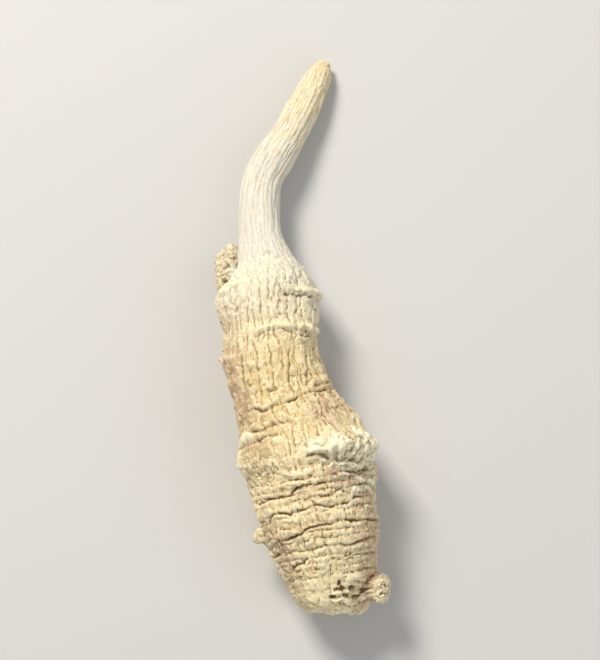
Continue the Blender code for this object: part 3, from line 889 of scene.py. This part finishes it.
def reliefTree(material):  # rings, furrows, wrinkles and warts raised from the plain form
    tree = bpy.data.node_groups.new("root_relief", "GeometryNodeTree")
    tree.interface.new_socket("Geometry", in_out="INPUT", socket_type="NodeSocketGeometry")
    tree.interface.new_socket("Geometry", in_out="OUTPUT", socket_type="NodeSocketGeometry")
    for name, value in skinRelief.items():
        tree.interface.new_socket(name, in_out="INPUT", socket_type="NodeSocketFloat").default_value = value
    g = Graph(tree)
    size = g.add("NodeGroupInput").outputs

    def stored(name, kind="FLOAT"):
        return g.add("GeometryNodeInputNamedAttribute", {"Name": name}, data_type=kind).outputs["Attribute"]

    straight = stored("straight", "FLOAT_VECTOR")
    warped = g.warped(straight, *waves["broad"])
    trembling = g.warped(warped, *waves["trembling"])
    along = g.parts(straight)["Z"]

    def patchy(name):
        draw, pace, detail, noises, shares = patches[name]
        return g.remap(g.noise(g.vector("ADD", straight, draw), pace, detail), *noises, *shares)

    def grooved(name, place):  # the groove itself, and the distance to its middle
        draw, paceRound, paceAlong, width = grooves[name]
        edge = g.cells(g.stretched(place, paceRound, paceAlong, draw))
        return g.remap(edge, 0.0, width, 1.0, 0.0), edge

    plain = g.math("SUBTRACT", 1.0, stored("onStump"))
    marked = g.math("MAXIMUM", g.times(stored("pale"), 0.5), g.times(stored("scarred"), 0.8))
    unmarked = g.math("SUBTRACT", 1.0, marked)
    ringed = g.times(plain, unmarked, g.over(along, "ringsEnd", 1.0, 0.0))
    furrowed = g.times(plain, unmarked, g.over(along, "furrowsEnd", 1.0, 0.0))
    onTail = g.times(plain, g.over(along, "tailForm"))
    fullness = g.remap(stored("girth"), 1.0, 5.5, 0.3, 1.0)
    nearCrown = g.over(along, "nearCrown", 0.5, 1.0)
    calmCrown = g.over(along, "calmCrown", 0.75, 1.0)
    crownward = g.over(along, "ringsCalm", 1.0, 0.45)

    # Growth rings: a narrow groove at each whole phase, fading in and out, weaker where the listed marks lie
    wobble = g.times(g.plus(g.noise(straight, 0.4, 3.0, 0.6), -0.5), 1.1)
    phase = g.plus(stored("ringPhase"), wobble)
    share = g.math("FRACT", phase)
    edge = g.math("MINIMUM", share, g.math("SUBTRACT", 1.0, share))
    groove = g.remap(edge, 0.02, 0.17, 1.0, 0.0)
    handLed = g.remap(stored("upperSide"), 0.0, 1.0, 1.0, 0.28)
    ringGroove = g.times(groove, stored("ringDepth"), patchy("rings"), handLed, nearCrown)

    # Each band between two rings is parted into short lengths, like laid bricks
    x, y, _ = g.parts(trembling)
    band = g.times(g.math("FLOOR", phase), 7.31)
    laid = g.add("ShaderNodeCombineXYZ", {"X": g.times(x, 0.8), "Y": g.times(y, 0.8), "Z": band}).outputs[0]
    brickEdge = g.cells(laid)
    brickGroove = g.times(g.remap(brickEdge, 0.0, 0.1, 1.0, 0.0), patchy("bricks"), crownward, nearCrown)
    ringPillow = g.math("POWER", g.remap(edge, 0.0, 0.45), 0.6)
    brickPillow = g.math("POWER", g.remap(brickEdge, 0.0, 0.3), 0.6)
    pillow = g.plus(g.times(ringPillow, g.plus(0.45, g.times(brickPillow, 0.55))), -0.6)

    # Finer wrinkles across the root, broken into short lengths
    wrinkles = g.times(grooved("wrinkles", trembling)[0], patchy("wrinkles"), crownward)

    # Furrows along the root: broad folds parted by creases that fork and meet
    furrowGroove, furrowEdge = grooved("furrows", warped)
    furrowPatches = patchy("furrows")
    furrows = g.plus(
        g.times(furrowGroove, size["Furrow Depth"], furrowPatches, -1.0),
        g.times(grooved("fineFurrows", trembling)[0], size["Furrow Depth"], furrowPatches, -0.5),
        g.times(g.plus(g.math("POWER", g.remap(furrowEdge, 0.0, 0.45), 0.7), -0.5), size["Furrow Bulge"]),
    )
    furrowShare = g.over(along, "furrowsGrow", 0.45, 1.0)
    streaks = g.times(grooved("streaks", trembling)[0], patchy("streaks"))
    tailFolds = g.noise(g.stretched(straight, 0.9, 0.05), 1.0, 2.0)
    tailFurrows = g.plus(
        g.times(grooved("tailFurrows", g.warped(straight, *waves["tail"]))[0], -1.0),
        g.times(g.plus(tailFolds, -0.5), 3.0),
    )

    # Papery skin that has lifted and broken into flakes
    flakePlace = g.stretched(g.warped(trembling, *waves["flakes"]), 1.0, 0.85)
    flaky = g.remap(g.noise(g.vector("ADD", flakePlace, (4.0, 4.0, 4.0)), 0.95, 3.0, 0.62), 0.5, 0.555)

    # Lumps, warts, and the crumpled skin of the stumps and of the crown's end
    lumps = g.plus(g.noise(g.vector("ADD", straight, (9.0, 1.0, 3.0)), 0.55, 2.0, 0.5), -0.5)
    wartPlace = g.stretched(trembling, 0.75, 1.4)
    wartCells = g.add("ShaderNodeTexVoronoi", {"Vector": wartPlace, "Scale": 1.0, "Randomness": 1.0})
    warts = g.times(g.remap(wartCells.outputs["Distance"], 0.12, 0.42, 1.0, 0.0), patchy("warts"))
    place = g.add("GeometryNodeInputPosition").outputs[0]
    crumpled = g.warped(place, *waves["stumps"], 3.0)
    stumpCells = g.cells(g.stretched(crumpled, 1.3, 1.3))
    stumpRough = g.plus(
        g.times(g.noise(crumpled, 1.15, 4.0, 0.65), 1.1),
        g.times(g.remap(stumpCells, 0.0, 0.16), 0.3),
        -0.75,
    )
    grain = g.plus(g.noise(place, 2.4, 3.0, 0.6), -0.5)

    height = g.plus(
        g.times(ringGroove, ringed, size["Ring Depth"], -1.0),
        g.times(brickGroove, ringed, size["Brick Depth"], -1.0),
        g.times(pillow, ringed, nearCrown, size["Ring Bulge"]),
        g.times(wrinkles, ringed, calmCrown, size["Wrinkle Depth"], -1.0),
        g.times(furrows, furrowed, fullness, furrowShare),
        g.times(tailFurrows, onTail, size["Tail Furrow Depth"]),
        g.times(lumps, ringed, size["Lump Height"], 2.0),
        g.times(warts, ringed, size["Wart Height"]),
        g.times(streaks, furrowed, calmCrown, size["Streak Depth"], -1.0),
        g.times(flaky, ringed, calmCrown, size["Flake Height"]),
        g.times(stumpRough, stored("stumpCrumple"), size["Stump Height"]),
        g.times(grain, size["Grain Height"], 2.0, g.remap(onTail, 0.0, 1.0, 1.0, 0.35)),
        stored("marked"),
    )
    normal = g.add("GeometryNodeInputNormal").outputs[0]
    offset = g.add("ShaderNodeVectorMath", {0: normal, "Scale": height}, operation="SCALE").outputs[0]
    raised = g.add("GeometryNodeSetPosition", {"Geometry": size["Geometry"], "Offset": offset}).outputs[0]

    # Nothing reaches below the surface that the root lies on
    x, y, z = g.parts(place)
    rested = g.add("ShaderNodeCombineXYZ", {"X": x, "Y": y, "Z": g.math("MAXIMUM", z, 0.0)}).outputs[0]
    rests = g.add("GeometryNodeSetPosition", {"Geometry": raised, "Position": rested}).outputs[0]

    # How deep each point lies in its surroundings, at two sizes, for the darkening in creases and hollows,
    # partly soil and partly painted shade, and for the paler crests
    feeds = {"Geometry": rests, "Name": "flaky", "Value": g.times(flaky, ringed)}
    skin = g.add("GeometryNodeStoreNamedAttribute", feeds, data_type="FLOAT", domain="POINT").outputs[0]
    for name, passes in (("hollow", 6), ("deepHollow", 36)):
        feeds = {"Value": place, "Iterations": passes}
        blurred = g.add("GeometryNodeBlurAttribute", feeds, data_type="FLOAT_VECTOR").outputs[0]
        depth = g.vector("DOT_PRODUCT", g.vector("SUBTRACT", blurred, place), normal)
        feeds = {"Geometry": skin, "Name": name, "Value": depth}
        skin = g.add("GeometryNodeStoreNamedAttribute", feeds, data_type="FLOAT", domain="POINT").outputs[0]
    realized = g.add("GeometryNodeRealizeInstances", {"Geometry": skin}).outputs[0]
    finished = g.add("GeometryNodeSetMaterial", {"Geometry": realized, "Material": material}).outputs[0]
    g.add("NodeGroupOutput", {"Geometry": finished})
    return tree


skinColours = {                                    # linear colours
    "cream": (0.86, 0.70, 0.40, 1.0),
    "tan": (0.72, 0.53, 0.28, 1.0),
    "upper": (0.72, 0.55, 0.26, 1.0),
    # pale flake colour, also laid as painted highlight on crests and on the lobe's rim
    "flakeAndHighlight": (0.93, 0.83, 0.56, 1.0),
    # dark brown of specks and soil, also laid as painted shade in creases and hollows
    "crease": (0.24, 0.14, 0.055, 1.0),
    # ruddy brown: the skin's ruddy tone, also laid as painted shade on the flanks and in deep hollows
    "ruddyAndShade": (0.52, 0.35, 0.21, 1.0),
    "shoulder": (0.80, 0.69, 0.46, 1.0),
    "crown": (0.95, 0.80, 0.46, 1.0),
    "tail": (0.75, 0.71, 0.61, 1.0),
    "scar": (0.95, 0.90, 0.67, 1.0),
    "stump": (0.66, 0.56, 0.36, 1.0),
    "tailSpeck": (0.42, 0.30, 0.15, 1.0),
}
skinFinish = {
    "Roughness": 0.78,
    "Specular IOR Level": 0.35,
    "Subsurface Weight": 0.06,
    "Subsurface Radius": (1.2, 0.6, 0.3),
    "Subsurface Scale": 0.0006,
}
hairRelief = {"Strength": 0.5, "Distance": 0.00014}

# The noises that the colours are laid by: draw, pace round the root and along it, roughness
mottles = {
    "cloudy": ((0.0, 0.0, 0.0), 0.3, 0.3, 0.6),
    "streaky": ((0.0, 0.0, 0.0), 1.6, 0.2, 0.65),
    "mottled": ((0.0, 0.0, 0.0), 1.1, 1.1, 0.65),
    "speckled": ((5.0, 1.0, 2.0), 2.6, 2.6, 0.7),
    "patchy": ((3.0, 0.0, 6.0), 0.5, 0.5, 0.6),
    "lengthwise": ((2.0, 7.0, 0.0), 2.6, 0.55, 0.7),
}


def skinMaterial():
    material = bpy.data.materials.new("root_skin")
    material.use_nodes = True
    g = Graph(material.node_tree)
    shader = material.node_tree.nodes["Principled BSDF"]
    for name, value in skinFinish.items():
        shader.inputs[name].default_value = value

    def stored(name, output="Fac"):
        return g.add("ShaderNodeAttribute", attribute_name=name).outputs[output]

    straight = stored("straight", "Vector")
    along = g.parts(straight)["Z"]
    onStump, pale, soiledAndShaded, ruddyAndShade, scarred = (
        stored(name) for name in ("onStump", "pale", "soiledAndShaded", "ruddyAndShade", "scarred")
    )
    hollow, deepHollow = stored("hollow"), stored("deepHollow")

    def mottling(name):
        draw, paceRound, paceAlong, roughness = mottles[name]
        return g.noise(g.stretched(straight, paceRound, paceAlong, draw), 1.0, 4.0, roughness)

    cloudy, streaky, mottled, speckled, patchy, lengthwise = (mottling(name) for name in mottles)
    roaming = g.plus(along, g.times(g.plus(g.noise(straight, 0.45, 3.0, 0.6), -0.5), 9.0))
    onTail = g.over(roaming, "tail")
    calm = g.remap(onTail, 0.0, 1.0, 1.0, 0.4)
    onUpper = g.times(g.over(along, "upperStarts"), g.over(along, "upperEnds", 1.0, 0.0))
    colour = g.mix(g.remap(cloudy, 0.28, 0.55), skinColours["tan"], skinColours["cream"])

    def lay(name, *shares):  # lays one more colour over the rest
        nonlocal colour
        colour = g.mix(g.times(*shares), colour, skinColours[name])

    # Cream and tan in clouds and streaks, ruddier on the flanks where ruddy tone and painted shade are laid
    # together, palest on the tail
    lay("crown", g.over(along, "paleCrown", 0.55, 0.0))
    lay("tan", g.remap(streaky, 0.5, 0.68), 0.4)
    lay("upper", onUpper, g.remap(streaky, 0.3, 0.6, 0.5, 0.95))
    # ruddy tone and painted shade on the flanks, on the right of the ringed part and under the collar's flap
    lay("ruddyAndShade", g.remap(g.plus(ruddyAndShade, g.times(g.plus(patchy, -0.5), 1.6)), 0.1, 0.8), 0.85)
    lay("shoulder", g.over(along, "shoulder"), g.remap(ruddyAndShade, 0.2, 0.9, 0.85, 0.25))
    lay("tail", onTail)
    tipShare = g.plus(g.over(along, "tip", -0.3, 0.75), g.times(g.plus(patchy, -0.5), 1.8))
    lay("cream", g.remap(tipShare, 0.0, 0.7), onTail, 0.65)
    lay("tailSpeck", g.remap(lengthwise, 0.5, 0.62), g.over(roaming, "tailSpecks", 0.12, 0.6), onTail)
    # browner towards the tip: partly its own tan, partly painted shadow over the tip
    lay("tan", g.over(roaming, "tanAndShadedTip"), 0.6)
    lay("stump", onStump, 0.7)
    lay("flakeAndHighlight", stored("flaky"), 0.55, g.remap(ruddyAndShade, 0.0, 1.0, 1.0, 0.5))
    lay("ruddyAndShade", g.remap(mottled, 0.56, 0.7), 0.3, calm)
    lay("flakeAndHighlight", g.remap(speckled, 0.3, 0.44, 1.0, 0.0), 0.45, calm)
    lay("crease", g.remap(speckled, 0.57, 0.72), 0.4, calm)
    lay("flakeAndHighlight", pale, 0.8)
    lay("crease", onStump, g.remap(speckled, 0.46, 0.6), 0.6)
    lay("scar", scarred)
    # paler on the crests: partly worn skin, partly painted highlight
    crest = g.remap(hollow, -0.06, -0.008, 1.0, 0.0)
    lay("flakeAndHighlight", crest, g.remap(onUpper, 0.0, 1.0, 0.5, 0.25))

    # Darkening in creases, pits and hollows: partly soil, partly painted shade; the ruddy brown in the
    # deepest hollows is painted shade
    lay("ruddyAndShade", g.remap(deepHollow, 0.03, 0.22), 0.4)
    lay("crease", soiledAndShaded, 0.6)
    fromRings = g.over(along, "ringSoilAndShadeEnds", 0.85, 0.6)
    fromScar = g.remap(scarred, 0.2, 0.6, 1.0, 0.6)
    fromTail = g.remap(onTail, 0.0, 1.0, 1.0, 0.6)
    lay("crease", g.remap(hollow, 0.012, 0.08), fromRings, fromScar, fromTail)
    g.feed(shader.inputs["Base Color"], colour)

    # Hair-fine wrinkles both ways
    hairs = g.hairlines(g.stretched(straight, 2.6, 0.35), 0.05)
    across = g.hairlines(g.stretched(straight, 0.8, 3.4), 0.05)
    grain = g.noise(straight, 5.0, 4.0, 0.65)
    fine = g.plus(grain, g.times(streaky, 0.5), g.times(hairs, -0.4), g.times(across, -0.3))
    bump = g.add("ShaderNodeBump", {"Height": fine, **hairRelief})
    g.feed(shader.inputs["Normal"], bump.outputs["Normal"])
    return material


def buildRoot():
    root = buildForm()
    print("form grown together:", len(root.data.polygons), "faces")
    measureSkin(root)
    print("skin measured")
    relief = root.modifiers.new("relief", "NODES")
    relief.node_group = reliefTree(skinMaterial())
    for socket in relief.node_group.interface.items_tree:
        if socket.in_out == "INPUT" and socket.name in skinRelief:
            relief[socket.identifier] = skinRelief[socket.name]
    thinning = root.modifiers.new("thinning", "DECIMATE")
    thinning.ratio = min(rootPlan["mostTriangles"] / (2 * len(root.data.polygons)), 1.0)
    root.data = evaluatedMesh(root, "ginseng_skin")
    for vertex in root.data.vertices:
        vertex.co.z = max(vertex.co.z, 0.0)
    root.data.transform(Matrix.Scale(mm, 4))
    root.data.shade_smooth()
    print("skin raised:", sum(len(face.vertices) - 2 for face in root.data.polygons), "triangles")
    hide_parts("ginseng_root")
    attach(root, "root")
    return root


table = {"size": 1.6, "colour": (0.60, 0.59, 0.57, 1.0), "roughness": 0.8}


def buildTable():
    half = table["size"] / 2
    mesh = bpy.data.meshes.new("table_top")
    corners = [(-half, -half, 0), (half, -half, 0), (half, half, 0), (-half, half, 0)]
    mesh.from_pydata(corners, [], [(0, 1, 2, 3)])
    top = bpy.data.objects.new("table_top", mesh)
    bpy.context.scene.collection.objects.link(top)
    material = bpy.data.materials.new("table_paint")
    material.use_nodes = True
    shader = material.node_tree.nodes["Principled BSDF"]
    shader.inputs["Base Color"].default_value = table["colour"]
    shader.inputs["Roughness"].default_value = table["roughness"]
    mesh.materials.append(material)


studio = {
    "aim": (-0.0012, 0.0196, 0.004),
    "elevation": 80,
    "distance": 0.32,
    "lens": 132,
    "key": ((-0.19, 0.30, 0.355), 0.16, 2.5, (1.0, 0.96, 0.89)),     # place, size, power, colour
    "fill": ((0.35, -0.25, 0.35), 0.5, 0.9, (0.94, 0.96, 1.0)),
    "sky": 0.4,
    "skyColour": (0.95, 0.97, 1.0, 1.0),
    "nearest": 0.01,
}


def buildStudio():
    scene = bpy.context.scene
    aim = Vector(studio["aim"])
    rise = math.radians(studio["elevation"])
    camera = bpy.data.objects.new("camera", bpy.data.cameras.new("camera"))
    camera.data.lens = studio["lens"]
    camera.data.clip_start = studio["nearest"]
    camera.location = aim + Vector((0, -math.cos(rise), math.sin(rise))) * studio["distance"]
    camera.rotation_euler = (math.radians(90 - studio["elevation"]), 0, 0)
    scene.collection.objects.link(camera)
    scene.camera = camera
    for name in ("key", "fill"):
        place, size, power, colour = studio[name]
        light = bpy.data.lights.new(name, "AREA")
        light.size, light.energy, light.color = size, power, colour
        lamp = bpy.data.objects.new(name, light)
        lamp.location = place
        lamp.rotation_euler = (aim - Vector(place)).to_track_quat("-Z", "Y").to_euler()
        scene.collection.objects.link(lamp)
    world = bpy.data.worlds.new("soft_room")
    world.use_nodes = True
    background = world.node_tree.nodes["Background"]
    background.inputs["Color"].default_value = studio["skyColour"]
    background.inputs["Strength"].default_value = studio["sky"]
    scene.world = world
    scene.view_settings.view_transform = "Standard"


buildRoot()
buildTable()
buildStudio()
print("studio set")
